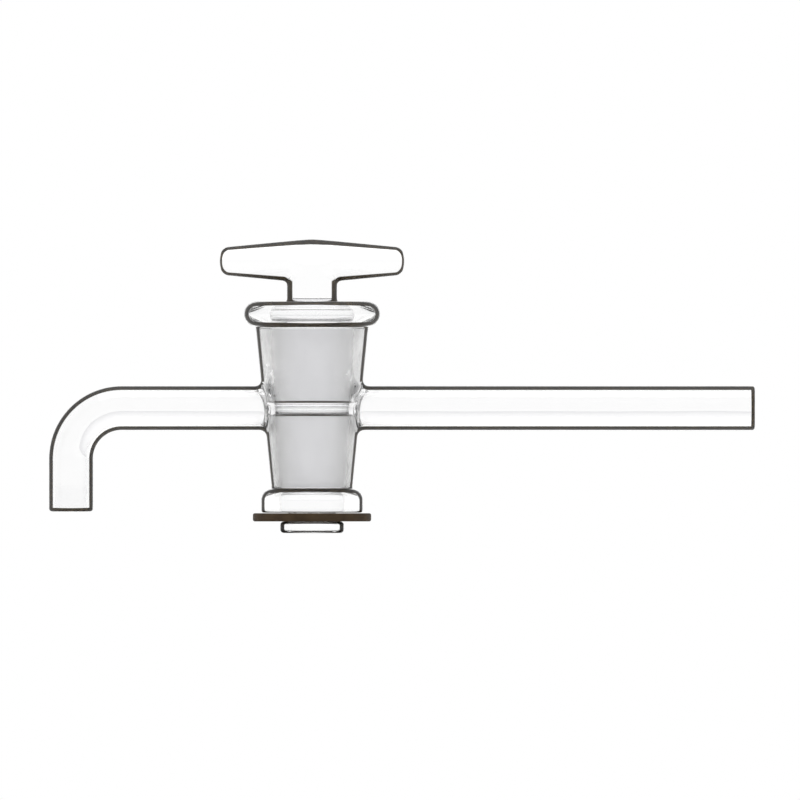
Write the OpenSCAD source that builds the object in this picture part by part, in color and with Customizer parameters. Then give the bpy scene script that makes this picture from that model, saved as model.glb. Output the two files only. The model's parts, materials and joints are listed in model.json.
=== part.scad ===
// Glass stopcock with a straight inlet arm, a bent outlet arm and a solid T-handled key.
// The origin is the centre of the inlet arm's open end, by which the stopcock is held, and the
// inlet opens towards +X. The arms share the X axis, and the key turns about a line along Z.
// The key is drawn open: its cross bore and its handle lie along the arms.

/* [Side arms] */
// Outside diameter of the arm tubing
arm_d = 8; // [7:0.5:9]
// Wall thickness of the arm tubing
arm_wall = 1; // [0.8:0.1:1.3]
// From the key's axis to the open end of the inlet arm
inlet_reach = 80.5; // [50:0.5:120]
// From the key's axis to the axis of the outlet leg
outlet_reach = 43.8; // [32:0.2:60]
// From the arms' axis down to the open end of the outlet leg
outlet_drop = 18.8; // [14:0.2:40]
// Radius of the outlet bend, on the centre line of the tubing
bend_r = 9.2; // [8:0.2:11]
// Radius of the fillet where each arm is sealed to the barrel
seal_r = 1.1; // [0.6:0.1:1.4]

/* [Barrel] */
// Outside diameter of the barrel at the arms' axis
barrel_d = 17.6; // [17:0.1:19]
// Length over which the outside diameter grows by 1
barrel_taper = 5; // [4.8:0.1:8]
// Height of the barrel's top above the arms' axis
barrel_top = 19.4; // [18:0.2:21]
// Depth of the barrel's foot below the arms' axis
barrel_foot = 19; // [17:0.2:20]
// Diameter of the heavy rim round the barrel's top
top_rim_d = 24.7; // [23:0.1:27]
// Thickness of the top rim
top_rim_h = 4.6; // [3.6:0.1:5.2]
// Diameter of the rim round the barrel's foot
foot_rim_d = 18.5; // [17.5:0.1:20]
// Thickness of the foot rim
foot_rim_h = 4.4; // [3.4:0.1:5]

/* [Key] */
// Diameter of the ground seat at the arms' axis
seat_d = 13.7; // [13.4:0.1:14]
// Length over which the ground seat's diameter grows by 1
seat_taper = 10; // [9:1:14]
// Gap between the key and its seat, measured from the axis
grind_gap = 0.04; // [0.02:0.01:0.08]
// Diameter of the cross bore
bore_d = 2; // [1.5:0.5:4]
// Height of the key's shoulder above the arms' axis
shoulder_z = 19.2; // [18:0.2:19.4]
// Diameter of the groove that holds the retaining washer
neck_d = 8.6; // [7.6:0.1:9.4]
// Diameter of the button below the groove
button_d = 11.6; // [10.8:0.1:11.6]
// Thickness of the button
button_h = 2.1; // [1.6:0.1:3]

/* [Handle] */
// Diameter of the handle's stem
stem_d = 9.1; // [7:0.1:9.4]
// Length of the handle's bar
bar_len = 33.6; // [28:0.2:40]
// Diameter of the bar at its middle
bar_mid_d = 7.9; // [7.2:0.1:8.4]
// Diameter of the bar at its ends
bar_end_d = 4.9; // [4:0.1:6]
// Height of the bar's axis above the arms' axis
bar_z = 26.7; // [26:0.1:30]

/* [Retaining washer] */
// Diameter of the rubber washer
washer_d = 21.5; // [18:0.5:24]
// Thickness of the rubber washer
washer_t = 1.5; // [1:0.1:2]
// Gap between the washer and the barrel's foot
washer_gap = 0.1; // [0.05:0.05:0.2]

/* [Hidden] */
$fn = 96;
arm_r = arm_d / 2;
lumen_r = arm_r - arm_wall;
barrel_r = barrel_d / 2;
port_r = bore_d / 2;
port_wall = 0.6;                   // thickness of the barrel's wall left round each port
funnel_l = 0.6;                    // length over which an arm's passage narrows to the port
root_end = barrel_r + 2;           // where an arm's root ends, from the key's axis
washer_top = -barrel_foot - washer_gap;
button_top = washer_top - washer_t;
groove_top = -barrel_foot + 0.2;   // the groove starts just inside the barrel
mouth_ease = 0.4;                  // rounding of the barrel's two mouths
shoulder_ease = 0.6;               // bevel round the key's shoulder
stem_flare = 0.8;                  // fillet between the stem and the shoulder
foot_round = 2.2;                  // rounding of the foot rim's upper edge
foot_ease = 0.5;                   // rounding of the foot rim's lower edge
edge_r = 0.8;                      // rounding of the button and of the bar's ends
past = 1;                          // how far a cutter runs past the face it opens

// Radius of the barrel's outside at height z
function wall_r(z) = barrel_r + z / barrel_taper / 2;

// Radius of the ground seat at height z
function seat_r(z) = seat_d / 2 + z / seat_taper / 2;

// Radius of the key at height z
function key_r(z) = seat_r(z) - grind_gap;

// Moves what is drawn about the key's axis to its place, with the inlet's end at the origin
module at_key() {
    translate([-inlet_reach, 0, 0])
        children();
}

// Solid cone of the barrel's outside, between two heights
module outside_cone(low, high) {
    translate([0, 0, low])
        cylinder(h = high - low, r1 = wall_r(low), r2 = wall_r(high));
}

// Disc with a fully rounded edge, standing on the XY plane
module round_edged_disc(d, h) {
    rotate_extrude() {
        square([(d - h) / 2, h]);
        translate([(d - h) / 2, h / 2])
            intersection() {
                circle(d = h);
                translate([-past, -h])
                    square([h + past, h * 2]);
            }
    }
}

// Disc whose upper edge is well rounded and whose lower edge is eased, for the barrel's foot
module foot_disc(d, h) {
    rotate_extrude() {
        square([d / 2 - foot_round, h]);
        translate([0, foot_ease])
            square([d / 2, h - foot_round - foot_ease]);
        square([d / 2 - foot_ease, h - foot_round]);
        translate([d / 2 - foot_round, h - foot_round])
            circle(r = foot_round);
        translate([d / 2 - foot_ease, foot_ease])
            circle(r = foot_ease);
    }
}

// Wall of a straight tube along +Z, its far end rounded in the flame
module flamed_tube(start, end) {
    rotate_extrude() {
        translate([lumen_r, start])
            square([arm_wall, end - start - arm_wall / 2]);
        translate([lumen_r + arm_wall / 2, end - arm_wall / 2])
            circle(d = arm_wall);
    }
}

// Root of an arm, from the key's axis outwards, with the fillet that spreads it onto the barrel
module arm_root() {
    difference() {
        union() {
            cylinder(h = root_end, r = arm_r);
            rotate_extrude()
                difference() {
                    square([arm_r + seal_r, barrel_r + seal_r]);
                    translate([arm_r + seal_r, barrel_r + seal_r])
                        circle(r = seal_r);
                }
        }
        translate([0, 0, -past])
            cylinder(h = root_end + past * 2, r = lumen_r);
    }
}

// Cutter for the end of an arm's passage in the barrel's wall, where it narrows to the port
module passage_end() {
    funnel_z = seat_d / 2 + port_wall;
    translate([0, 0, funnel_z])
        cylinder(h = funnel_l, r1 = port_r, r2 = lumen_r);
    translate([0, 0, funnel_z + funnel_l])
        cylinder(h = barrel_d, r = lumen_r);
}

// Tapered tube with a heavy rim at each end and a port on each side for the arms
module barrel() {
    color("aliceblue") at_key()
        difference() {
            union() {
                outside_cone(foot_rim_h / 2 - barrel_foot, barrel_top - top_rim_h / 2);
                translate([0, 0, barrel_top - top_rim_h])
                    round_edged_disc(top_rim_d, top_rim_h);
                translate([0, 0, -barrel_foot])
                    foot_disc(foot_rim_d, foot_rim_h);
            }
            translate([0, 0, -barrel_foot - past])
                cylinder(
                    h = barrel_foot + barrel_top + past * 2,
                    r1 = seat_r(-barrel_foot - past),
                    r2 = seat_r(barrel_top + past));
            translate([0, 0, barrel_top - mouth_ease])
                cylinder(
                    h = mouth_ease * 2,
                    r1 = seat_r(barrel_top),
                    r2 = seat_r(barrel_top) + mouth_ease * 2);
            translate([0, 0, -barrel_foot - mouth_ease])
                cylinder(
                    h = mouth_ease * 2,
                    r1 = seat_r(-barrel_foot) + mouth_ease * 2,
                    r2 = seat_r(-barrel_foot));
            rotate([0, 90, 0])
                translate([0, 0, -barrel_d])
                    cylinder(h = barrel_d * 2, r = port_r);
            for (side = [-90, 90])
                rotate([0, side, 0])
                    passage_end();
        }
}

// Straight arm, its root shaped to the barrel's cone
module inlet_tube() {
    color("lightcyan") at_key()
        difference() {
            rotate([0, 90, 0]) {
                flamed_tube(root_end, inlet_reach);
                arm_root();
            }
            outside_cone(-arm_d, arm_d);
        }
}

// Arm that runs out level, then bends down through a quarter turn to its open end
module outlet_tube() {
    bend_x = outlet_reach - bend_r;
    color("powderblue") at_key() {
        difference() {
            rotate([0, -90, 0]) {
                rotate_extrude()
                    translate([lumen_r, root_end])
                        square([arm_wall, bend_x - root_end]);
                arm_root();
            }
            outside_cone(-arm_d, arm_d);
        }
        translate([-bend_x, 0, -bend_r])
            rotate([90, 0, 0])
                rotate_extrude(angle = 90, start = 90)
                    translate([bend_r, 0])
                        difference() {
                            circle(r = arm_r);
                            circle(r = lumen_r);
                        }
        translate([-outlet_reach, 0, 0])
            mirror([0, 0, 1])
                flamed_tube(bend_r, outlet_drop);
    }
}

// Solid ground plug with its cross bore, the washer's groove and the end button
module key_plug() {
    button_foot = button_top - button_h;
    color("lightsteelblue") at_key()
        difference() {
            union() {
                translate([0, 0, groove_top])
                    cylinder(
                        h = shoulder_z - shoulder_ease - groove_top,
                        r1 = key_r(groove_top),
                        r2 = key_r(shoulder_z - shoulder_ease));
                translate([0, 0, shoulder_z - shoulder_ease])
                    cylinder(
                        h = shoulder_ease,
                        r1 = key_r(shoulder_z - shoulder_ease),
                        r2 = key_r(shoulder_z) - shoulder_ease);
                translate([0, 0, button_top])
                    cylinder(h = groove_top - button_top, d = neck_d);
                rotate_extrude() {
                    translate([0, button_foot + edge_r])
                        square([button_d / 2, button_h - edge_r]);
                    translate([0, button_foot])
                        square([button_d / 2 - edge_r, edge_r]);
                    translate([button_d / 2 - edge_r, button_foot + edge_r])
                        circle(r = edge_r);
                }
            }
            rotate([0, 90, 0])
                translate([0, 0, -barrel_d])
                    cylinder(h = barrel_d * 2, r = port_r);
        }
}

// Stem and spindle-shaped bar, sealed to the top of the plug
module key_handle() {
    half = bar_len / 2;
    end_r = bar_end_d / 2;
    color("azure") at_key() {
        rotate_extrude()
            difference() {
                translate([0, shoulder_z])
                    square([stem_d / 2 + stem_flare, stem_flare]);
                translate([stem_d / 2 + stem_flare, shoulder_z + stem_flare])
                    circle(r = stem_flare);
            }
        translate([0, 0, shoulder_z])
            cylinder(h = bar_z - bar_mid_d / 2 - shoulder_z, d = stem_d);
        translate([0, 0, bar_z - bar_mid_d / 2])
            cylinder(h = bar_mid_d / 2, r1 = stem_d / 2, r2 = bar_end_d / 2);
        translate([0, 0, bar_z])
            rotate([0, 90, 0])
                rotate_extrude() {
                    polygon([
                        [0, -half], [end_r - edge_r, -half], [end_r, edge_r - half],
                        [bar_mid_d / 2, 0],
                        [end_r, half - edge_r], [end_r - edge_r, half], [0, half]]);
                    for (side = [-1, 1])
                        translate([end_r - edge_r, side * (half - edge_r)])
                            circle(r = edge_r);
                }
    }
}

// Flat rubber ring gripped in the groove, which stops the key from lifting out
module retaining_washer() {
    ease = washer_t / 4;
    color("#3e3020") at_key()
        difference() {
            rotate_extrude()
                polygon([
                    [0, button_top], [washer_d / 2 - ease, button_top],
                    [washer_d / 2, button_top + ease], [washer_d / 2, washer_top - ease * 2],
                    [washer_d / 2 - ease * 2, washer_top], [0, washer_top]]);
            translate([0, 0, button_top - past])
                cylinder(h = washer_t + past * 2, d = neck_d);
        }
}

barrel();
inlet_tube();
outlet_tube();
key_plug();
key_handle();
retaining_washer();
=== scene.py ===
import json
import math

import bpy
import numpy as np
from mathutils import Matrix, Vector


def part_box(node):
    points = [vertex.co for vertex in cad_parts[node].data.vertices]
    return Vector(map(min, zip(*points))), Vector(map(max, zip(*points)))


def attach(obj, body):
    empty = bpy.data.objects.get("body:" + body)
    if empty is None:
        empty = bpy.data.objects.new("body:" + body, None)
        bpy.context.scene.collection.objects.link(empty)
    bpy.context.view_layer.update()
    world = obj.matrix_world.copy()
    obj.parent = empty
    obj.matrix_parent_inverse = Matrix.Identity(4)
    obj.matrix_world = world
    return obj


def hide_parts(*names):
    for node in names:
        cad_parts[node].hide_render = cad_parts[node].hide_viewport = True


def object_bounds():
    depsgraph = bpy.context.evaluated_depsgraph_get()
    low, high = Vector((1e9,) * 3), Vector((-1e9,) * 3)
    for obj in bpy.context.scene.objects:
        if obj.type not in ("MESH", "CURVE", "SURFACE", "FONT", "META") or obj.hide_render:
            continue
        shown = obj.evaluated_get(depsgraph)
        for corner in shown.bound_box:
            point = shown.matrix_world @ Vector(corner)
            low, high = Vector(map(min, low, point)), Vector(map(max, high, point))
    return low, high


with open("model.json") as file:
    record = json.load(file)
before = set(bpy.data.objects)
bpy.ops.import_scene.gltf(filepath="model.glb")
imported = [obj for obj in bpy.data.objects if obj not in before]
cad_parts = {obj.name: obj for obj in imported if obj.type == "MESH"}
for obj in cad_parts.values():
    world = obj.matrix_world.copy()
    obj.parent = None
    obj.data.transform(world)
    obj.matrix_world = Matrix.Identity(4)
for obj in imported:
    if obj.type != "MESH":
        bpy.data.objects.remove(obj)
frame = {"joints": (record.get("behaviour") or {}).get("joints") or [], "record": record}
cad_low, cad_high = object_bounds()


# ---- The glass body: a barrel with its two arms ----
# Borosilicate glass. A heavy tapered tube is spun with a rolled rim at each end, an 8 mm arm is
# sealed to each side of it in the flame, and the seat inside is then ground with fine grit. The
# cut ends of the arms are fire-polished round.

MM = 0.001
barrel_low, barrel_high = (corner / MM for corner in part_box("barrel"))
inlet_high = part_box("inlet_tube")[1] / MM
outlet_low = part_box("outlet_tube")[0] / MM
key_axis = Vector(frame["joints"][0]["pos_m"]) / MM
mounts = {mount["name"]: mount for mount in frame["record"]["mounts"]}

ARM_R = mounts["inlet_arm"]["dims"]["r_mm"]
PASSAGE_R = mounts["inlet_passage"]["dims"]["r_mm"]
BORE_R = 1.0
END_ROUND = (ARM_R - PASSAGE_R) / 2
INLET_REACH = inlet_high.x - key_axis.x
OUTLET_REACH = key_axis.x - outlet_low.x - ARM_R
OUTLET_DROP = -outlet_low.z
BEND_R = 9.2

# Each arm's passage starts inside the barrel's wall, where it narrows to the port. The share keeps
# distances true along that slope, and the last two stand in where a distance doesn't apply.
PASSAGE_START = 8.05
FUNNEL_L = 0.6
FUNNEL_EASE = 0.62
NOT_ON_LEG = -1e3
FAR_OFF = 99

# Radii are at the arms' height, and the slopes say how fast they grow upward.
WALL_R = 8.8
WALL_SLOPE = 0.1
WALL_MIDDLE = 0.3
WALL_HALF = 16.5
SEAT_R = 6.85
SEAT_SLOPE = 0.05
TOP_RIM_R = (barrel_high.y - barrel_low.y) / 2
TOP_RIM_H = 4.6
FOOT_RIM_R = 9.25
FOOT_RIM_H = 4.4
FOOT_ROUND = 2.2
FOOT_EASE = 0.5
SEAL_BLEND = 1.3
RIM_BLEND = 0.3
EDGE_BLEND = 0.5


def blend_union(a, b, width):
    """Two shapes melted together, with a fillet about as wide as width."""
    h = np.maximum(width - np.abs(a - b), 0) / width
    return np.minimum(a, b) - h * h * width / 4


def blend_cut(a, b, width):
    """Shape a with b taken out of it, the edge between them softened."""
    return -blend_union(-a, b, width)


def rounded(side, cap, rounding):
    """A shape bounded by a side and a cap, with the edge between them rounded."""
    outside = np.hypot(np.maximum(side, 0), np.maximum(cap, 0))
    return outside + np.minimum(np.maximum(side, cap), 0) - rounding


def round_disc(r, z, middle, radius, thickness):
    """A disc whose edge is fully rounded."""
    bead = thickness / 2
    return np.hypot(np.maximum(r - radius + bead, 0), z - middle) - bead


def foot_disc(r, z, low, radius, thickness):
    """A disc with a well rounded upper edge and an eased lower one."""
    level = z - low
    ease = np.where(level > thickness / 2, FOOT_ROUND, FOOT_EASE)
    return rounded(r - radius + ease, np.abs(level - thickness / 2) - thickness / 2 + ease, ease)


def rod(across, along, radius, end, rounding):
    """A rod with a rounded end."""
    return rounded(across - radius + rounding, along - end + rounding, rounding)


def outlet_path(p):
    """Distance from the outlet's centre line, how far down its leg a point lies, and how far
    out from the barrel."""
    out, y, z = -p[:, 0], p[:, 1], p[:, 2]
    past, above = out - OUTLET_REACH + BEND_R, z + BEND_R
    level, leg = np.hypot(y, z), np.hypot(out - OUTLET_REACH, y)
    bend = np.hypot(np.hypot(past, above) - BEND_R, y)
    across = np.where((past > 0) & (above > 0), bend, np.where(past > 0, leg, level))
    across = np.where((past <= 0) & (above <= 0), np.minimum(level, leg), across)
    return across, np.where(above < 0, -z, NOT_ON_LEG), out


def passage(across, out):
    """The hollow of an arm, which narrows to the port in the barrel's wall."""
    part = np.clip((out - PASSAGE_START + FUNNEL_L) / FUNNEL_L, 0, 1)
    gap = across - BORE_R - (PASSAGE_R - BORE_R) * part
    return gap * np.where((part > 0) & (part < 1), FUNNEL_EASE, 1)


def hollow_of(p):
    """Distance to the wall of the arms' two passages."""
    x, y, z = p.T
    across, _, out = outlet_path(p)
    hollow = np.where(x > 0, passage(np.hypot(y, z), x), passage(across, out))
    return np.where(z < -BEND_R, np.where(x < 0, across - PASSAGE_R, FAR_OFF), hollow)


def seat_of(p):
    """Distance to the ground seat."""
    return np.hypot(p[:, 0], p[:, 1]) - SEAT_R - SEAT_SLOPE * p[:, 2]


def body_shape(p):
    """Distance to the surface of the fused body, in millimetres, below 0 inside the glass."""
    x, y, z = p.T
    r = np.hypot(x, y)
    barrel = r - WALL_R - WALL_SLOPE * z
    barrel = np.maximum(barrel, np.abs(z - WALL_MIDDLE) - WALL_HALF)
    across, along, _ = outlet_path(p)
    inlet = rod(np.hypot(y, z), x, ARM_R, INLET_REACH, END_ROUND)
    inlet = np.maximum(inlet, -x)
    outlet = rod(across, along, ARM_R, OUTLET_DROP, END_ROUND)
    outlet = np.maximum(outlet, x)
    glass = blend_union(barrel, np.minimum(inlet, outlet), SEAL_BLEND)
    rims = np.minimum(
        round_disc(r, z, barrel_high.z - TOP_RIM_H / 2, TOP_RIM_R, TOP_RIM_H),
        foot_disc(r, z, barrel_low.z, FOOT_RIM_R, FOOT_RIM_H))
    glass = blend_union(glass, rims, RIM_BLEND)
    return blend_cut(blend_cut(glass, hollow_of(p), EDGE_BLEND), seat_of(p), EDGE_BLEND)


# The mesh's cells in millimetres, the room left round a shape in cells, the steps in which points
# settle on the surface, the probe they feel it with in cells, and the least slope they trust.
CELL = 0.27
ROOM_BELOW = 2.37
ROOM_ABOVE = 2
SETTLE_STEPS = 6
PROBE = 0.02
LEAST_SLOPE = 0.2


def blown_mesh(name, shape, low, high):
    """A closed mesh of a shape given by its distances: one point in each cell that the surface
    crosses, drawn onto the surface itself, with the surface's own normals."""
    low = np.array(low) - CELL * ROOM_BELOW
    count = np.ceil((np.array(high) + CELL * ROOM_ABOVE - low) / CELL).astype(int)
    axes = [low[i] + CELL * np.arange(count[i]) for i in range(3)]
    corners = np.stack(np.meshgrid(*axes, indexing="ij"), -1).reshape(-1, 3)
    inside = (shape(corners) < 0).reshape(count)
    seen = np.zeros(count - 1, int)
    for i in (0, 1):
        for j in (0, 1):
            for k in (0, 1):
                seen += inside[i:count[0] - 1 + i, j:count[1] - 1 + j, k:count[2] - 1 + k]
    crossed = (seen > 0) & (seen < 8)
    number = np.full(crossed.shape, -1)
    number[crossed] = np.arange(crossed.sum())
    points = low + CELL * (np.argwhere(crossed) + 0.5)
    step = CELL * PROBE
    for _ in range(SETTLE_STEPS):
        slope = np.stack([
            shape(points + step * e) - shape(points - step * e) for e in np.eye(3)], -1)
        slope /= step * 2
        steep = np.maximum((slope ** 2).sum(-1), LEAST_SLOPE)
        move = slope * (shape(points) / steep)[:, None]
        points = points - np.clip(move, -CELL / 2, CELL / 2)
    normals = slope / np.linalg.norm(slope, axis=1)[:, None]
    quads = []
    for axis in range(3):
        u, v = (axis + 1) % 3, (axis + 2) % 3
        near = np.moveaxis(inside, (axis, u, v), (0, 1, 2))
        cell = np.moveaxis(number, (axis, u, v), (0, 1, 2))
        first, second = near[:-1, 1:-1, 1:-1], near[1:, 1:-1, 1:-1]
        ring = np.stack(
            [cell[:, :-1, :-1], cell[:, 1:, :-1], cell[:, 1:, 1:], cell[:, :-1, 1:]], -1)
        quads += [ring[first & ~second], ring[second & ~first][:, ::-1]]
    mesh = bpy.data.meshes.new(name)
    place = (points + np.array(key_axis)) * MM
    mesh.from_pydata(place.tolist(), [], np.concatenate(quads).tolist())
    mesh.shade_smooth()
    mesh.normals_split_custom_set_from_vertices(normals.tolist())
    piece = bpy.data.objects.new(name, mesh)
    bpy.context.scene.collection.objects.link(piece)
    return piece


def linear(code):
    """An sRGB hex colour as linear light."""
    levels = [int(code[i:i + 2], 16) / 255 for i in (1, 3, 5)]
    return [v / 12.92 if v <= 0.04045 else ((v + 0.055) / 1.055) ** 2.4 for v in levels] + [1]


def add(tree, kind, **settings):
    """A node with its settings. A setting named for an input fills it or links a socket to it."""
    made = tree.nodes.new(kind)
    for name, value in settings.items():
        key = name.replace("_", " ")
        if name.startswith("in"):
            socket = made.inputs[int(name[2:])]
        elif hasattr(made, name):
            setattr(made, name, value)
            continue
        else:
            socket = next(s for s in made.inputs if s.name.lower() == key.lower())
        if isinstance(value, bpy.types.NodeSocket):
            tree.links.new(value, socket)
        else:
            socket.default_value = value
    return made


def new_material(name):
    """An empty material and its node tree."""
    made = bpy.data.materials.new(name)
    made.use_nodes = True
    made.node_tree.nodes.clear()
    return made, made.node_tree


def finish_material(tree, surface, volume=None):
    """Sends the shaders to the material's output."""
    out = tree.nodes.new("ShaderNodeOutputMaterial")
    tree.links.new(surface, out.inputs["Surface"])
    if volume:
        tree.links.new(volume, out.inputs["Volume"])


# Borosilicate glass: water clear in thin pieces, faintly grey in depth.
GLASS_IOR = 1.473
GLASS_CORE = "#FEFEFE"
GLASS_TINT = "#F6F6F7"
GLASS_DEPTH = 4.0
CLEAR_ROUGH = 0.01

# Its dark edge is painted shade: a near-black mixed into the base colour by how far the surface is
# turned away, 0 square on and 1 on edge, standing in for the dark that glass shows there.
PAINTED_EDGE_SHADE = "#080401"
THIN_EDGE = 0.40
THICK_EDGE = 0.61
EDGE_FADE = 0.05
GLANCE_START = 0.82
GLANCE_END = 0.90
EDGE_ROUGH = 0.6


def painted_edge_shade(tree, slender):
    """The dark line that glass shows where it is seen on edge, painted as shade: a near-black
    mixed into the base colour, with the roughness raised with it. It starts sooner on a slender
    piece, 1, than on the barrel, 0, so that it is about as wide on both. Well above 1 the glass
    is painted dark all over. At a glancing angle glass is a mirror, and the painted dark goes again.
    It lies on the outer side alone, so that light inside the glass isn't stopped."""
    rim = add(tree, "ShaderNodeLayerWeight", Blend=0.5)
    start = add(
        tree, "ShaderNodeMapRange", clamp=False, Value=slender, To_Min=THICK_EDGE,
        To_Max=THIN_EDGE)
    past = add(
        tree, "ShaderNodeMath", operation="SUBTRACT", in0=rim.outputs["Facing"],
        in1=start.outputs["Result"])
    outside = add(
        tree, "ShaderNodeMath", operation="SUBTRACT", in0=1.0,
        in1=add(tree, "ShaderNodeNewGeometry").outputs["Backfacing"])
    glance = add(
        tree, "ShaderNodeMapRange", Value=rim.outputs["Facing"], From_Min=GLANCE_START,
        From_Max=GLANCE_END, To_Min=outside.outputs["Value"], To_Max=0.0)
    dark = add(
        tree, "ShaderNodeMapRange", Value=past.outputs["Value"], From_Min=0.0, From_Max=EDGE_FADE,
        To_Max=glance.outputs["Result"])
    # Painted shade: the near-black edge colour mixed into the glass where it is seen on edge.
    tone = add(tree, "ShaderNodeMix", data_type="RGBA", Factor=dark.outputs["Result"])
    tone.inputs[6].default_value = linear(GLASS_CORE)
    tone.inputs[7].default_value = linear(PAINTED_EDGE_SHADE)
    dull = add(
        tree, "ShaderNodeMapRange", Value=dark.outputs["Result"], To_Min=CLEAR_ROUGH,
        To_Max=EDGE_ROUGH)
    return tone.outputs[2], dull.outputs["Result"]


# The waves left by drawing are about 17 mm long and 4 mm apart, in repeats to the metre.
WAVE_SCALE = (60, 260, 260)
WAVE_BUMP = 0.12
WAVE_DEPTH = 0.0002


def clear_glass(name, finish_for):
    """Clear borosilicate glass. The faint waves left by drawing it bend what is seen through it
    a little. Its colour and roughness come from finish_for; on the outer surfaces that paints a
    dark edge into the colour as painted shade, and makes the edge rough so that it doesn't glare."""
    made, tree = new_material(name)
    place = add(tree, "ShaderNodeTexCoord").outputs["Object"]
    stretch = add(tree, "ShaderNodeMapping", Vector=place, Scale=WAVE_SCALE)
    waves = add(tree, "ShaderNodeTexNoise", Vector=stretch.outputs["Vector"], Scale=1.0, Detail=1.0)
    bump = add(
        tree, "ShaderNodeBump", Height=waves.outputs["Fac"], Strength=WAVE_BUMP,
        Distance=WAVE_DEPTH)
    colour, rough = finish_for(tree)
    shader = add(
        tree, "ShaderNodeBsdfPrincipled", Base_Color=colour, Roughness=rough,
        IOR=GLASS_IOR, Transmission_Weight=1.0, Normal=bump.outputs["Normal"])
    depth = add(
        tree, "ShaderNodeVolumeAbsorption", Color=linear(GLASS_TINT), Density=GLASS_DEPTH)
    finish_material(tree, shader.outputs["BSDF"], depth.outputs["Volume"])
    return made


# The fire-polished bead at an arm's end, in millimetres, and how strongly it is painted dark, as
# painted shade that outlines the end.
END_BEAD = 0.7
BEAD_CORE = 0.8
END_PAINTED_SHADE = 4.0
ARM_FADE = 0.6

# Where the rims lie, how much wider their painted dark edge grows, and how far a surface has to lean
# up or down to count as curving over.
RIM_START = 11.0
RIM_PAINTED_SHADE = 1.6
WALL_LEAN = (0.35, 0.6)
RIM_LEAN = (0.62, 0.70)


def body_edge(tree):
    """How wide the painted dark edge is on the blown body: it counts as slender along its arms, and
    where its rims curve over. The bead that the flame leaves round an arm's open end is painted
    dark all over, as painted shade that outlines the end."""
    way = add(tree, "ShaderNodeTexCoord")
    place = add(
        tree, "ShaderNodeVectorMath", operation="SUBTRACT", in0=way.outputs["Object"],
        in1=key_axis * MM).outputs["Vector"]
    flat = add(
        tree, "ShaderNodeVectorMath", operation="MULTIPLY", in0=place, in1=(1, 1, 0))
    reach = add(
        tree, "ShaderNodeVectorMath", operation="LENGTH", in0=flat.outputs["Vector"])
    arm = add(
        tree, "ShaderNodeMapRange", Value=reach.outputs["Value"], From_Min=TOP_RIM_R * MM,
        From_Max=(TOP_RIM_R + ARM_FADE) * MM)
    tilt = add(tree, "ShaderNodeSeparateXYZ", Vector=way.outputs["Normal"]).outputs["Z"]
    tilt = add(tree, "ShaderNodeMath", operation="ABSOLUTE", in0=tilt).outputs["Value"]
    part = add(tree, "ShaderNodeSeparateXYZ", Vector=way.outputs["Object"])
    level = add(tree, "ShaderNodeMath", operation="ABSOLUTE", in0=part.outputs["Z"])
    rims = add(
        tree, "ShaderNodeMapRange", Value=level.outputs["Value"], From_Min=RIM_START * MM,
        From_Max=(RIM_START + 1) * MM)
    lean = add(
        tree, "ShaderNodeMapRange", Value=rims.outputs["Result"], To_Min=WALL_LEAN[0],
        To_Max=RIM_LEAN[0])
    lie = add(
        tree, "ShaderNodeMapRange", Value=rims.outputs["Result"], To_Min=WALL_LEAN[1],
        To_Max=RIM_LEAN[1])
    most = add(
        tree, "ShaderNodeMapRange", Value=rims.outputs["Result"], To_Min=1.0, To_Max=RIM_PAINTED_SHADE)
    over = add(
        tree, "ShaderNodeMapRange", Value=tilt, From_Min=lean.outputs["Result"],
        From_Max=lie.outputs["Result"], To_Max=most.outputs["Result"])
    slender = add(
        tree, "ShaderNodeMath", operation="MAXIMUM", in0=arm.outputs["Result"],
        in1=over.outputs["Result"])
    # Painted shade: the glass at each arm's open end is painted dark all over.
    inlet_end = add(
        tree, "ShaderNodeMapRange", Value=part.outputs["X"],
        From_Min=(inlet_high.x - END_BEAD) * MM,
        From_Max=(inlet_high.x - END_BEAD * BEAD_CORE) * MM, To_Max=END_PAINTED_SHADE)
    outlet_end = add(
        tree, "ShaderNodeMapRange", Value=part.outputs["Z"],
        From_Min=(outlet_low.z + END_BEAD) * MM,
        From_Max=(outlet_low.z + END_BEAD * BEAD_CORE) * MM, To_Max=END_PAINTED_SHADE)
    on_leg = add(
        tree, "ShaderNodeMath", operation="MULTIPLY", in0=outlet_end.outputs["Result"],
        in1=arm.outputs["Result"])
    ends = add(
        tree, "ShaderNodeMath", operation="ADD", in0=inlet_end.outputs["Result"],
        in1=on_leg.outputs["Value"])
    slender = add(
        tree, "ShaderNodeMath", operation="ADD", in0=slender.outputs["Value"],
        in1=ends.outputs["Value"])
    return painted_edge_shade(tree, slender.outputs["Value"])


# The ground part of the seat reaches this far up and down from the arms' height.
FROST_TOP = 14.7
MOUTH_FADE = 1
INSIDE_ROUGH = 0.03
MOUTH_ROUGH = 0.16
INSIDE_SHADE = "#FCFCFC"
INSIDE_LIGHT = "#FFFFFF"
STREAK_SCALE = 300.0  # streaks about 3 mm apart


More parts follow.
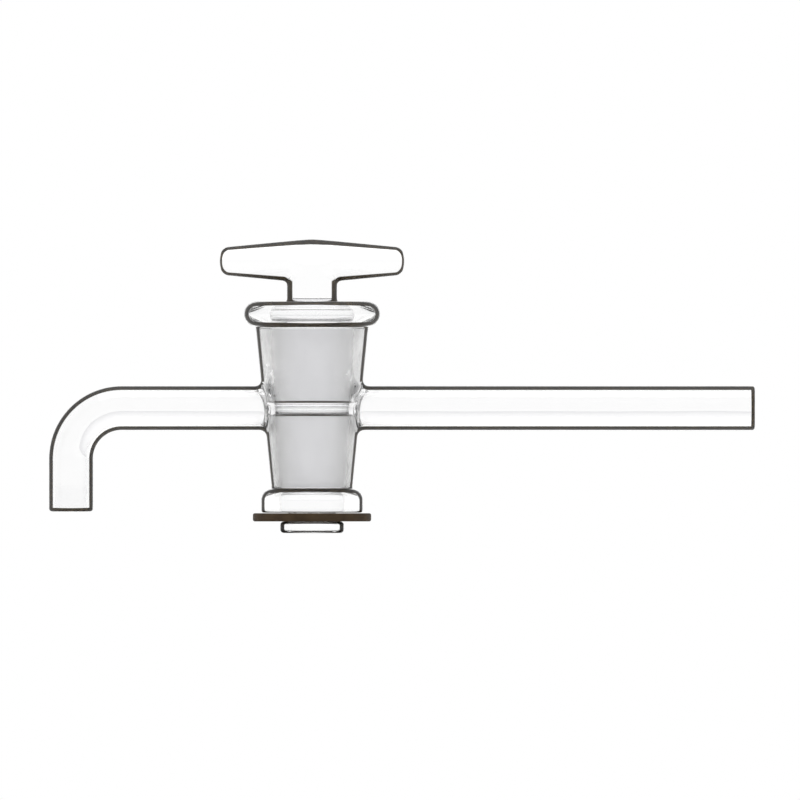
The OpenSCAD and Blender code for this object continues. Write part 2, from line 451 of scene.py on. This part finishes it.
def inner_edge(tree):
    """The glass of a passage, or of the barrel's mouth, stays light right to its edge, with the
    faintest streaks in it. The mouth keeps some dullness from the grinding."""
    place = add(tree, "ShaderNodeTexCoord").outputs["Object"]
    streak = add(tree, "ShaderNodeTexNoise", Vector=place, Scale=STREAK_SCALE, Detail=2.0)
    tone = add(tree, "ShaderNodeMix", data_type="RGBA", Factor=streak.outputs["Fac"])
    tone.inputs[6].default_value = linear(INSIDE_SHADE)
    tone.inputs[7].default_value = linear(INSIDE_LIGHT)
    height = add(
        tree, "ShaderNodeMath", operation="ABSOLUTE",
        in0=add(tree, "ShaderNodeSeparateXYZ", Vector=place).outputs["Z"]).outputs["Value"]
    dull = add(
        tree, "ShaderNodeMapRange", Value=height, From_Min=(FROST_TOP - MOUTH_FADE) * MM,
        From_Max=FROST_TOP * MM, To_Min=INSIDE_ROUGH, To_Max=MOUTH_ROUGH)
    return tone.outputs[2], dull.outputs["Result"]


# Specks about 0.5 mm across. They lie to the sides of the key's axis, from SCUFF_INNER out, most
# between the arms' height and SCUFF_LOW above it, and few above SCUFF_HIGH, in millimetres.
SPECK_SCALE = 1100.0
SPECK_SHARE = (0.54, 0.64)
SCUFF_INNER = 3.2
SCUFF_OUTER = 6.4
SCUFF_RISE = 1.5
SCUFF_LOW = 6
SCUFF_HIGH = 13
SCUFF_BELOW = 0.1
SCUFF_ABOVE = 0.6
SCUFF_TOP = 0.2


def scuffs(tree, place):
    """Small bright specks where the grit has been rubbed smooth, above and beside the bore's
    mouths. Each is about half a millimetre across."""
    speck = add(
        tree, "ShaderNodeTexNoise", Vector=place, Scale=SPECK_SCALE, Detail=3.0).outputs["Fac"]
    spot = add(
        tree, "ShaderNodeMapRange", Value=speck, From_Min=SPECK_SHARE[0],
        From_Max=SPECK_SHARE[1])
    part = add(tree, "ShaderNodeSeparateXYZ", Vector=place)
    off = add(
        tree, "ShaderNodeMath", operation="SUBTRACT", in0=part.outputs["X"],
        in1=key_axis.x * MM).outputs["Value"]
    off = add(tree, "ShaderNodeMath", operation="ABSOLUTE", in0=off).outputs["Value"]
    beside = add(
        tree, "ShaderNodeMapRange", Value=off, From_Min=SCUFF_INNER * MM,
        From_Max=SCUFF_OUTER * MM)
    above = add(
        tree, "ShaderNodeMapRange", Value=part.outputs["Z"], From_Min=0.0,
        From_Max=SCUFF_RISE * MM, To_Min=SCUFF_BELOW, To_Max=SCUFF_ABOVE)
    near = add(
        tree, "ShaderNodeMapRange", Value=part.outputs["Z"], From_Min=SCUFF_LOW * MM,
        From_Max=SCUFF_HIGH * MM, To_Max=SCUFF_TOP, To_Min=1.0)
    close = add(
        tree, "ShaderNodeMath", operation="MULTIPLY", in0=near.outputs["Result"],
        in1=above.outputs["Result"])
    where = add(
        tree, "ShaderNodeMath", operation="MULTIPLY", in0=beside.outputs["Result"],
        in1=close.outputs["Value"])
    return add(
        tree, "ShaderNodeMath", operation="MULTIPLY", in0=spot.outputs["Result"],
        in1=where.outputs["Value"]).outputs["Value"]


# The ground zones' grey, painted shade for the light the grit scatters away, the polished band
# between them, and the dark line painted along its edges as painted shade.
GROUND_SHADE_GREY = "#EDEDEF"
BAND_LINE_SHADE = "#2A1E10"
BAND_LINE_WIDTH = 0.38
CLEAR_HALF = 0.95
FROST_FADE = 0.12
SQUARE_ON = (0.05, 0.3)

# The real grit leaves pits of about 0.03 mm. They are drawn 0.2 mm apart, so that they show.
GRIT_SCALE = 5200.0
GRIT_BUMP = 0.25
GRIT_DEPTH = 0.00005
BLOOM_SCALE = 420.0  # patches about 2.4 mm across
BLOOM_SHARE = (0.3, 0.7)
GROUND_ROUGH = (0.42, 0.6)


def ground_glass(name, near_side):
    """Glass ground with fine grit, rough so that it scatters what is behind it, with a grey painted
    into its colour as painted shade, fading where the surface is seen on edge. It stays polished in
    a band level with the bore and inside the two rims, and a thin dark line is painted along the
    band's edges as painted shade. Grey and line are painted on the near half alone, so that they
    aren't seen twice: near_side is 1 where that half shows its inner side, as in the seat, and 0
    where it shows its outer one, as on the plug."""
    made, tree = new_material(name)
    place = add(tree, "ShaderNodeTexCoord").outputs["Object"]
    height = add(tree, "ShaderNodeSeparateXYZ", Vector=place).outputs["Z"]
    level = add(tree, "ShaderNodeMath", operation="ABSOLUTE", in0=height).outputs["Value"]
    above = add(
        tree, "ShaderNodeMapRange", Value=level, From_Min=CLEAR_HALF * MM,
        From_Max=(CLEAR_HALF + FROST_FADE) * MM).outputs["Result"]
    below = add(
        tree, "ShaderNodeMapRange", Value=level, From_Min=(FROST_TOP - FROST_FADE) * MM,
        From_Max=FROST_TOP * MM, To_Min=1.0, To_Max=0.0).outputs["Result"]
    zone = add(tree, "ShaderNodeMath", operation="MULTIPLY", in0=above, in1=below).outputs["Value"]
    rim = add(tree, "ShaderNodeLayerWeight", Blend=0.5).outputs["Facing"]
    square_on = add(
        tree, "ShaderNodeMapRange", Value=rim, From_Min=SQUARE_ON[0], From_Max=SQUARE_ON[1],
        To_Min=1.0, To_Max=0.0)
    away = add(tree, "ShaderNodeNewGeometry").outputs["Backfacing"]
    near = add(
        tree, "ShaderNodeMath", operation="COMPARE", in0=away, in1=near_side, in2=0.5)
    scuff = scuffs(tree, place)
    whole = add(tree, "ShaderNodeMath", operation="SUBTRACT", in0=1.0, in1=scuff)
    matt = add(
        tree, "ShaderNodeMath", operation="MULTIPLY", in0=zone, in1=whole.outputs["Value"])
    grey = add(
        tree, "ShaderNodeMath", operation="MULTIPLY", in0=matt.outputs["Value"],
        in1=square_on.outputs["Result"])
    grey = add(
        tree, "ShaderNodeMath", operation="MULTIPLY", in0=grey.outputs["Value"],
        in1=near.outputs["Value"])
    # Painted shade: the ground zones' grey, on the near half only and fading on edge.
    tone = add(tree, "ShaderNodeMix", data_type="RGBA", Factor=grey.outputs["Value"])
    tone.inputs[6].default_value = linear(GLASS_CORE)
    tone.inputs[7].default_value = linear(GROUND_SHADE_GREY)
    # Painted shade: a dark line along the polished band's edges, on the near half only.
    past_line = add(
        tree, "ShaderNodeMapRange", Value=level, To_Min=1.0, To_Max=0.0,
        From_Min=(CLEAR_HALF + BAND_LINE_WIDTH) * MM,
        From_Max=(CLEAR_HALF + BAND_LINE_WIDTH + FROST_FADE) * MM)
    line = add(
        tree, "ShaderNodeMath", operation="MULTIPLY", in0=past_line.outputs["Result"], in1=above)
    line = add(
        tree, "ShaderNodeMath", operation="MULTIPLY", in0=line.outputs["Value"],
        in1=near.outputs["Value"])
    lined = add(tree, "ShaderNodeMix", data_type="RGBA", Factor=line.outputs["Value"])
    tree.links.new(tone.outputs[2], lined.inputs[6])
    lined.inputs[7].default_value = linear(BAND_LINE_SHADE)
    grit = add(
        tree, "ShaderNodeTexNoise", Vector=place, Scale=GRIT_SCALE, Detail=3.0).outputs["Fac"]
    bloom = add(
        tree, "ShaderNodeTexNoise", Vector=place, Scale=BLOOM_SCALE, Detail=4.0).outputs["Fac"]
    patch = add(
        tree, "ShaderNodeMapRange", Value=bloom, From_Min=BLOOM_SHARE[0],
        From_Max=BLOOM_SHARE[1], To_Min=GROUND_ROUGH[0],
        To_Max=GROUND_ROUGH[1]).outputs["Result"]
    rough = add(
        tree, "ShaderNodeMath", operation="MULTIPLY", in0=matt.outputs["Value"], in1=patch)
    sharp = add(tree, "ShaderNodeMath", operation="MULTIPLY", in0=zone, in1=grit)
    bump = add(
        tree, "ShaderNodeBump", Height=sharp.outputs["Value"], Strength=GRIT_BUMP,
        Distance=GRIT_DEPTH)
    shader = add(
        tree, "ShaderNodeBsdfPrincipled", Base_Color=lined.outputs[2],
        Roughness=rough.outputs["Value"], IOR=GLASS_IOR, Transmission_Weight=1.0,
        Normal=bump.outputs["Normal"])
    depth = add(
        tree, "ShaderNodeVolumeAbsorption", Color=linear(GLASS_TINT), Density=GLASS_DEPTH)
    finish_material(tree, shader.outputs["BSDF"], depth.outputs["Volume"])
    return made


def finish_faces(piece, *tests):
    """Gives the faces whose corners all pass a test the material of its number, from 1 up."""
    mesh = piece.data
    points = np.empty(len(mesh.vertices) * 3, np.float32)
    mesh.vertices.foreach_get("co", points)
    points = points.reshape(-1, 3).astype(float) / MM - np.array(key_axis)
    corners = np.empty(len(mesh.loops), np.int32)
    mesh.loops.foreach_get("vertex_index", corners)
    chosen = np.zeros(len(mesh.polygons), np.int32)
    for number, test in enumerate(tests, 1):
        chosen[test(points)[corners].reshape(-1, 4).all(1)] = number
    mesh.polygons.foreach_set("material_index", chosen)


# How near a face lies to a passage or to the ground cone to take its finish, and how wide the
# bevelled mouths at the seat's top and foot are, in millimetres.
ON_PASSAGE = 0.05
ON_CONE = 0.02
TOP_MOUTH = 2.2
FOOT_MOUTH = 0.8

body_glass = blown_mesh(
    "body_glass", body_shape,
    (-OUTLET_REACH - ARM_R, -TOP_RIM_R, barrel_low.z), (INLET_REACH, TOP_RIM_R, barrel_high.z))
body_glass.data.materials.append(clear_glass("clear borosilicate glass", body_edge))
body_glass.data.materials.append(clear_glass("clear glass inside the arms", inner_edge))
body_glass.data.materials.append(ground_glass("ground glass seat", 1.0))
finish_faces(
    body_glass,
    lambda p: (np.abs(hollow_of(p)) < ON_PASSAGE) | (
        seat_of(p) < np.where(p[:, 2] > 0, TOP_MOUTH, FOOT_MOUTH)),
    lambda p: np.abs(seat_of(p)) < ON_CONE)
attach(body_glass, "body")
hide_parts("barrel", "inlet_tube", "outlet_tube")


# ---- The glass key ----
# A solid plug pressed from the same glass, ground to the barrel's taper and drilled across at
# the arms' height. Its T-handle is sealed on above, and a groove is cut above the end button.

handle_low, handle_high = (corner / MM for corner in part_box("key_handle"))
plug_low, plug_high = (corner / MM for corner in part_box("key_plug"))
washer_low, washer_high = (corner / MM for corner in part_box("retaining_washer"))

GRIND_GAP = 0.04
KEY_R = SEAT_R - GRIND_GAP
NECK_R = 4.3
NECK_SUNK = 1
GROOVE_TOP = -18.8
GROOVE_BLEND = 0.4
BORE_BLEND = 0.2
BUTTON_R = 5.8
BUTTON_ROUND = 0.7
STEM_R = 4.55
STEM_FOOT = 10
STEM_DOME = 1.2
BAR_HALF = (handle_high.x - handle_low.x) / 2
BAR_MID_R = 3.95
BAR_END_R = 2.45
BAR_Z = handle_high.z - BAR_MID_R
BAR_ROUND = 0.9
BAR_DOME = 5.0
APEX_SOFTEN = 1.6
SHOULDER_BLEND = 1.0
STEM_BLEND = 0.9
BAR_BLEND = 0.9


def plug_cone(p):
    """Distance to the key's ground cone."""
    return np.hypot(p[:, 0], p[:, 1]) - KEY_R - SEAT_SLOPE * p[:, 2]


def cross_bore(p):
    """Distance to the bore drilled through the key."""
    return np.hypot(p[:, 1], p[:, 2]) - BORE_R


def key_shape(p):
    """Distance to the surface of the key, in millimetres, below 0 inside the glass."""
    x, y, z = p.T
    r = np.hypot(x, y)
    plug = plug_cone(p)
    plug = blend_cut(plug, plug_high.z - z, SHOULDER_BLEND)
    plug = blend_cut(plug, z - GROOVE_TOP, GROOVE_BLEND)
    neck = np.maximum(r - NECK_R, np.maximum(z, plug_low.z + NECK_SUNK - z))
    middle = (plug_low.z + washer_low.z) / 2
    thick = washer_low.z - plug_low.z
    button = rounded(
        r - BUTTON_R + BUTTON_ROUND, np.abs(z - middle) - thick / 2 + BUTTON_ROUND, BUTTON_ROUND)
    foot = np.minimum(np.minimum(plug, neck), button)
    dome = np.maximum(z - BAR_Z + STEM_DOME, 0)
    stem = np.maximum(np.hypot(r, dome) - STEM_R, STEM_FOOT - z)
    key = blend_union(foot, stem, STEM_BLEND)
    off = np.sqrt(x * x + APEX_SOFTEN ** 2) - APEX_SOFTEN
    width = BAR_MID_R - (BAR_MID_R - BAR_END_R) * off / (BAR_HALF - APEX_SOFTEN)
    across = np.hypot(y, z - BAR_Z)
    end = np.abs(x) + across ** 2 / 2 / BAR_DOME
    bar = rounded(across - width + BAR_ROUND, end - BAR_HALF + BAR_ROUND, BAR_ROUND)
    key = blend_union(key, bar, BAR_BLEND)
    return blend_cut(key, cross_bore(p), BORE_BLEND)


# How slender the key counts as at its button, on its narrow sides and on the bar's broad faces,
# which sets how wide its painted dark edge is.
BUTTON_EDGE = 0.5
SLIM_EDGE = 1.25
BROAD_EDGE = 0.55
BROAD_TURN = (0.65, 0.75)


def key_edge(tree):
    """How wide the painted dark edge is on the key: its handle and button count as slender all over,
    least on the broad faces of the bar.
    """
    way = add(tree, "ShaderNodeTexCoord")
    height = add(tree, "ShaderNodeSeparateXYZ", Vector=way.outputs["Object"]).outputs["Z"]
    upper = add(
        tree, "ShaderNodeMapRange", Value=height, From_Min=plug_low.z * MM,
        From_Max=plug_high.z * MM, To_Min=BUTTON_EDGE, To_Max=1.0)
    side = add(tree, "ShaderNodeSeparateXYZ", Vector=way.outputs["Normal"]).outputs["Y"]
    side = add(tree, "ShaderNodeMath", operation="ABSOLUTE", in0=side).outputs["Value"]
    broad = add(
        tree, "ShaderNodeMapRange", Value=side, From_Min=BROAD_TURN[0], From_Max=BROAD_TURN[1],
        To_Min=SLIM_EDGE, To_Max=BROAD_EDGE)
    slender = add(
        tree, "ShaderNodeMath", operation="MULTIPLY", in0=upper.outputs["Result"],
        in1=broad.outputs["Result"])
    return painted_edge_shade(tree, slender.outputs["Value"])


KEY_ROOM = 1
PLUG_RIM = 0.1

key_glass = blown_mesh(
    "key_glass", key_shape,
    (-BAR_HALF, -KEY_R - KEY_ROOM, plug_low.z), (BAR_HALF, KEY_R + KEY_ROOM, handle_high.z))
key_glass.data.materials.append(clear_glass("clear pressed glass", key_edge))
key_glass.data.materials.append(clear_glass("clear glass inside the barrel", inner_edge))
key_glass.data.materials.append(ground_glass("ground glass plug", 0.0))
finish_faces(
    key_glass,
    lambda p: (p[:, 2] < plug_high.z + PLUG_RIM) & (p[:, 2] > GROOVE_TOP - GROOVE_BLEND),
    lambda p: np.abs(plug_cone(p)) < ON_CONE)
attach(key_glass, "key")
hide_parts("key_plug", "key_handle")


# ---- The retaining washer ----
# A flat ring stamped from dark rubber sheet and stretched over the button into the groove. Its
# upper edge is eased by wear against the barrel's foot.

WASHER_EDGE = 0.35
WASHER_GAP = 0.02
EDGE_STEPS = 5
AROUND = 160


def ring_profile(inner, outer, low, high, ease):
    """The ring's section, as radius and height, with its four corners rounded."""
    corners = [
        (outer - ease, low + ease, -90), (outer - ease, high - ease, 0),
        (inner + ease, high - ease, 90), (inner + ease, low + ease, 180)]
    section = []
    for r, z, start in corners:
        for step in range(EDGE_STEPS + 1):
            turn = math.radians(start + 90 * step / EDGE_STEPS)
            section.append((r + ease * math.cos(turn), z + ease * math.sin(turn)))
    return section


def turned(name, section):
    """A closed ring turned about the key's axis from its section."""
    points, faces = [], []
    for step in range(AROUND):
        turn = 2 * math.pi * step / AROUND
        for r, z in section:
            points.append((
                (key_axis.x + r * math.cos(turn)) * MM, r * math.sin(turn) * MM, z * MM))
    size = len(section)
    for step in range(AROUND):
        here, there = step * size, (step + 1) % AROUND * size
        for i in range(size):
            j = (i + 1) % size
            faces.append((here + i, there + i, there + j, here + j))
    mesh = bpy.data.meshes.new(name)
    mesh.from_pydata(points, [], faces)
    mesh.shade_smooth()
    piece = bpy.data.objects.new(name, mesh)
    bpy.context.scene.collection.objects.link(piece)
    return piece


# Vulcanised sheet rubber. Its real grain of about 0.1 mm is drawn 0.3 mm apart, so that it
# shows, and its bloom in patches of about 3 mm.
RUBBER_DARK = "#33271A"
RUBBER_BLOOM = "#453726"
RUBBER_IOR = 1.52
RUBBER_GLOSS = 0.15
RUBBER_ROUGH = (0.55, 0.8)
GRAIN_SCALE = 3000.0
GRAIN_BUMP = 0.35
GRAIN_DEPTH = 0.00006
DUST_SCALE = 300.0
DUST_SHARE = (0.35, 0.75)


def rubber(name):
    """Cut sheet rubber: nearly black, satin, with a fine cloth-like grain and a dusty bloom."""
    made, tree = new_material(name)
    place = add(tree, "ShaderNodeTexCoord").outputs["Object"]
    grain = add(
        tree, "ShaderNodeTexNoise", Vector=place, Scale=GRAIN_SCALE, Detail=3.0).outputs["Fac"]
    bloom = add(
        tree, "ShaderNodeTexNoise", Vector=place, Scale=DUST_SCALE, Detail=3.0).outputs["Fac"]
    colour = add(tree, "ShaderNodeValToRGB", Fac=bloom)
    dark, dusty = colour.color_ramp.elements
    dark.position, dusty.position = DUST_SHARE
    dark.color = linear(RUBBER_DARK)
    dusty.color = linear(RUBBER_BLOOM)
    rough = add(
        tree, "ShaderNodeMapRange", Value=grain, To_Min=RUBBER_ROUGH[0],
        To_Max=RUBBER_ROUGH[1]).outputs["Result"]
    bump = add(tree, "ShaderNodeBump", Height=grain, Strength=GRAIN_BUMP, Distance=GRAIN_DEPTH)
    shader = add(
        tree, "ShaderNodeBsdfPrincipled", Base_Color=colour.outputs["Color"], Roughness=rough,
        IOR=RUBBER_IOR, Specular_IOR_Level=RUBBER_GLOSS, Normal=bump.outputs["Normal"])
    finish_material(tree, shader.outputs["BSDF"])
    return made


washer_r = (washer_high.y - washer_low.y) / 2
washer = turned("rubber_washer", ring_profile(
    NECK_R + WASHER_GAP, washer_r, washer_low.z, washer_high.z, WASHER_EDGE))
washer.data.materials.append(rubber("dark sheet rubber"))
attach(washer, "key")
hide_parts("retaining_washer")


# ---- The stage: a sheet of white paper, soft light all round, and the camera ----
# The tap is held just over a sheet of white paper, small enough that its far edge doesn't draw a
# line through the clear tubing, in a plain white surround with one softbox overhead.

PAPER_HALF = 0.7
PAPER_BELOW = 0.0005
PAPER_SHADE = "#F8F8F7"
PAPER_LIGHT = "#FDFDFC"
PAPER_SCALE = 600.0  # mottling about 1.7 mm across

floor_mesh = bpy.data.meshes.new("paper")
floor_z = cad_low.z - PAPER_BELOW
floor_mesh.from_pydata(
    [(PAPER_HALF * sx, PAPER_HALF * sy, floor_z) for sx, sy in ((-1, -1), (1, -1), (1, 1), (-1, 1))],
    [], [(0, 1, 2, 3)])
floor = bpy.data.objects.new("paper", floor_mesh)
bpy.context.scene.collection.objects.link(floor)
paper, tree = new_material("white paper")
speck = add(
    tree, "ShaderNodeTexNoise", Vector=add(tree, "ShaderNodeTexCoord").outputs["Object"],
    Scale=PAPER_SCALE, Detail=2.0).outputs["Fac"]
shade = add(tree, "ShaderNodeValToRGB", Fac=speck)
shade.color_ramp.elements[0].color = linear(PAPER_SHADE)
shade.color_ramp.elements[1].color = linear(PAPER_LIGHT)
paint = add(
    tree, "ShaderNodeBsdfPrincipled", Base_Color=shade.outputs["Color"], Roughness=1.0,
    Specular_IOR_Level=0.0)
finish_material(tree, paint.outputs["BSDF"])
floor_mesh.materials.append(paper)

TENT_WHITE = (1, 1, 1, 1)
world = bpy.data.worlds.new("light tent")
bpy.context.scene.world = world
world.use_nodes = True
tree = world.node_tree
tree.nodes.clear()
sky = add(tree, "ShaderNodeBackground", Color=TENT_WHITE, Strength=1.0)
add(tree, "ShaderNodeOutputWorld", Surface=sky.outputs["Background"])

scene = bpy.context.scene
scene.view_settings.view_transform = "Standard"

SOFTBOX_SIZE = (0.8, 0.5)
SOFTBOX_WATTS = 3.0
SOFTBOX_UP = 0.9
box_light = bpy.data.lights.new("overhead softbox", "AREA")
box_light.shape = "RECTANGLE"
box_light.size, box_light.size_y = SOFTBOX_SIZE
box_light.energy = SOFTBOX_WATTS
softbox = bpy.data.objects.new("overhead softbox", box_light)
softbox.location = ((cad_low.x + cad_high.x) / 2, 0, SOFTBOX_UP)
scene.collection.objects.link(softbox)

# Light crosses about ten glass surfaces on its way through the barrel and the key.
GLASS_BOUNCES = 32
CLEAR_BOUNCES = 16
scene.cycles.max_bounces = GLASS_BOUNCES
scene.cycles.transmission_bounces = GLASS_BOUNCES
scene.cycles.transparent_max_bounces = CLEAR_BOUNCES
scene.cycles.caustics_refractive = True

# The camera looks square on at the front, from level with the object, with no perspective.
SPAN = 0.1454
AIM_LEFT = 0.00036
AIM_DOWN = 0.0025
STAND_OFF = 0.4
SEES_TO = 10
lens = bpy.data.cameras.new("camera")
lens.type = "ORTHO"
lens.ortho_scale = SPAN
camera = bpy.data.objects.new("camera", lens)
scene.collection.objects.link(camera)
centre_x = (cad_low.x + cad_high.x) / 2 - AIM_LEFT
centre_z = (cad_low.z + cad_high.z) / 2 - AIM_DOWN
camera.location = (centre_x, -STAND_OFF, centre_z)
camera.rotation_euler = (math.radians(90), 0, 0)
lens.clip_end = SEES_TO
scene.camera = camera
